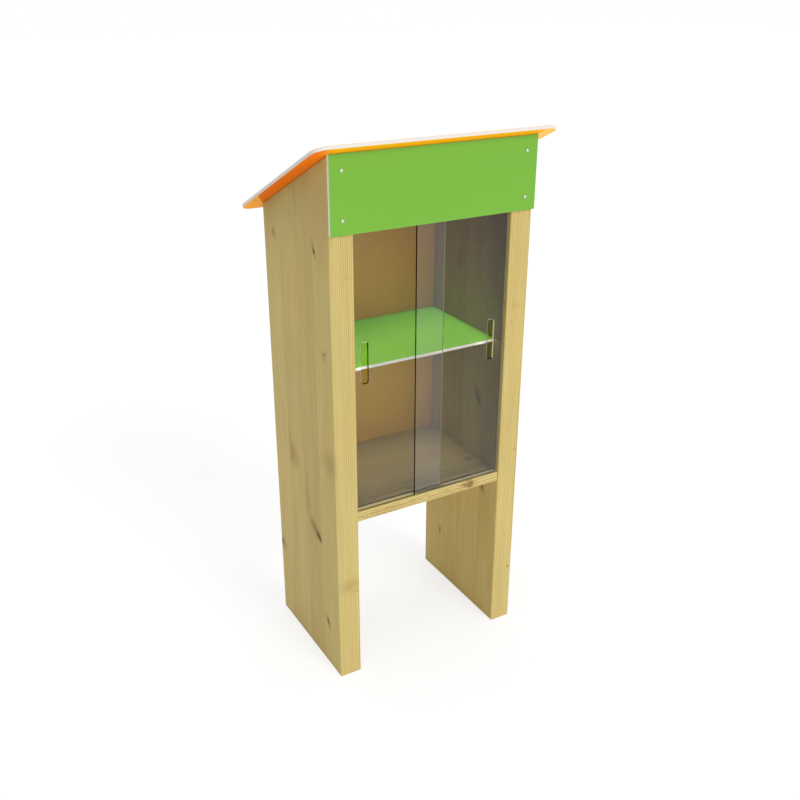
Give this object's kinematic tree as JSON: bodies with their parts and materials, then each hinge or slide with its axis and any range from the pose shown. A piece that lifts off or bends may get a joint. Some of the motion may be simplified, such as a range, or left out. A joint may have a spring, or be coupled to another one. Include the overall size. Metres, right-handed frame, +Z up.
{
  "type": "street book exchange box",
  "caption": "Free-standing timber cabinet on panel sides, with a sloping roof sheet, a shelf and clear sliding doors, for leaving and taking books outdoors.",
  "frame": {"origin": "on the ground, under the middle of the whole footprint with the roof's overhangs", "axes": "+Z up, +X to the right and +Y to the back as seen by a person facing the doors"},
  "size_m": [0.74, 0.5386, 1.6378],
  "materials": {
    "pine": "edge-glued softwood with fine straight grain and small knots, clear satin finish",
    "green_laminate": "smooth green decor over a white core that shows at the edges",
    "orange_laminate": "smooth orange decor over a white core that shows at the edges",
    "ochre_laminate": "smooth orange-brown decor over a white core that shows at the edges",
    "clear_acrylic": "clear cast acrylic with a slight grey tint and polished edges",
    "zinc_steel": "bright zinc-plated steel",
    "beech": "plain turned beech"
  },
  "bodies": {
    "cabinet": {"back_panel": "ochre_laminate", "back_screw_bottom_1": "zinc_steel", "back_screw_bottom_2": "zinc_steel", "back_screw_bottom_3": "zinc_steel", "back_screw_top_1": "zinc_steel", "back_screw_top_2": "zinc_steel", "back_screw_top_3": "zinc_steel", "fascia_panel": "green_laminate", "fascia_screw_left_bottom": "zinc_steel", "fascia_screw_left_top": "zinc_steel", "fascia_screw_right_bottom": "zinc_steel", "fascia_screw_right_top": "zinc_steel", "floor_board": "pine", "floor_dowel_left_back": "beech", "floor_dowel_left_front": "beech", "floor_dowel_right_back": "beech", "floor_dowel_right_front": "beech", "header_dowel_left_lower": "beech", "header_dowel_left_upper": "beech", "header_dowel_right_lower": "beech", "header_dowel_right_upper": "beech", "header_rail": "pine", "left_angle_floor_screw_1": "zinc_steel", "left_angle_floor_screw_2": "zinc_steel", "left_angle_side_screw_1": "zinc_steel", "left_angle_side_screw_2": "zinc_steel", "left_floor_angle": "zinc_steel", "left_side_panel": "pine", "rear_rail": "pine", "rear_rail_dowel_left_lower": "beech", "rear_rail_dowel_left_upper": "beech", "rear_rail_dowel_right_lower": "beech", "rear_rail_dowel_right_upper": "beech", "right_angle_floor_screw_1": "zinc_steel", "right_angle_floor_screw_2": "zinc_steel", "right_angle_side_screw_1": "zinc_steel", "right_angle_side_screw_2": "zinc_steel", "right_floor_angle": "zinc_steel", "right_side_panel": "pine", "roof_screw_header_left": "zinc_steel", "roof_screw_header_right": "zinc_steel", "roof_screw_left_1": "zinc_steel", "roof_screw_left_2": "zinc_steel", "roof_screw_left_3": "zinc_steel", "roof_screw_rear_left": "zinc_steel", "roof_screw_rear_right": "zinc_steel", "roof_screw_right_1": "zinc_steel", "roof_screw_right_2": "zinc_steel", "roof_screw_right_3": "zinc_steel", "roof_sheet": "orange_laminate", "shelf": "green_laminate"},
    "left_door": {"left_door": "clear_acrylic"},
    "right_door": {"right_door": "clear_acrylic"}
  },
  "joints": [
    {"name": "left_door_slide", "type": "slide", "parent": "cabinet", "child": "left_door", "axis": [1, 0, 0], "range_m": [0, 0.198]},
    {"name": "right_door_slide", "type": "slide", "parent": "cabinet", "child": "right_door", "axis": [-1, 0, 0], "range_m": [0, 0.198]}
  ]
}
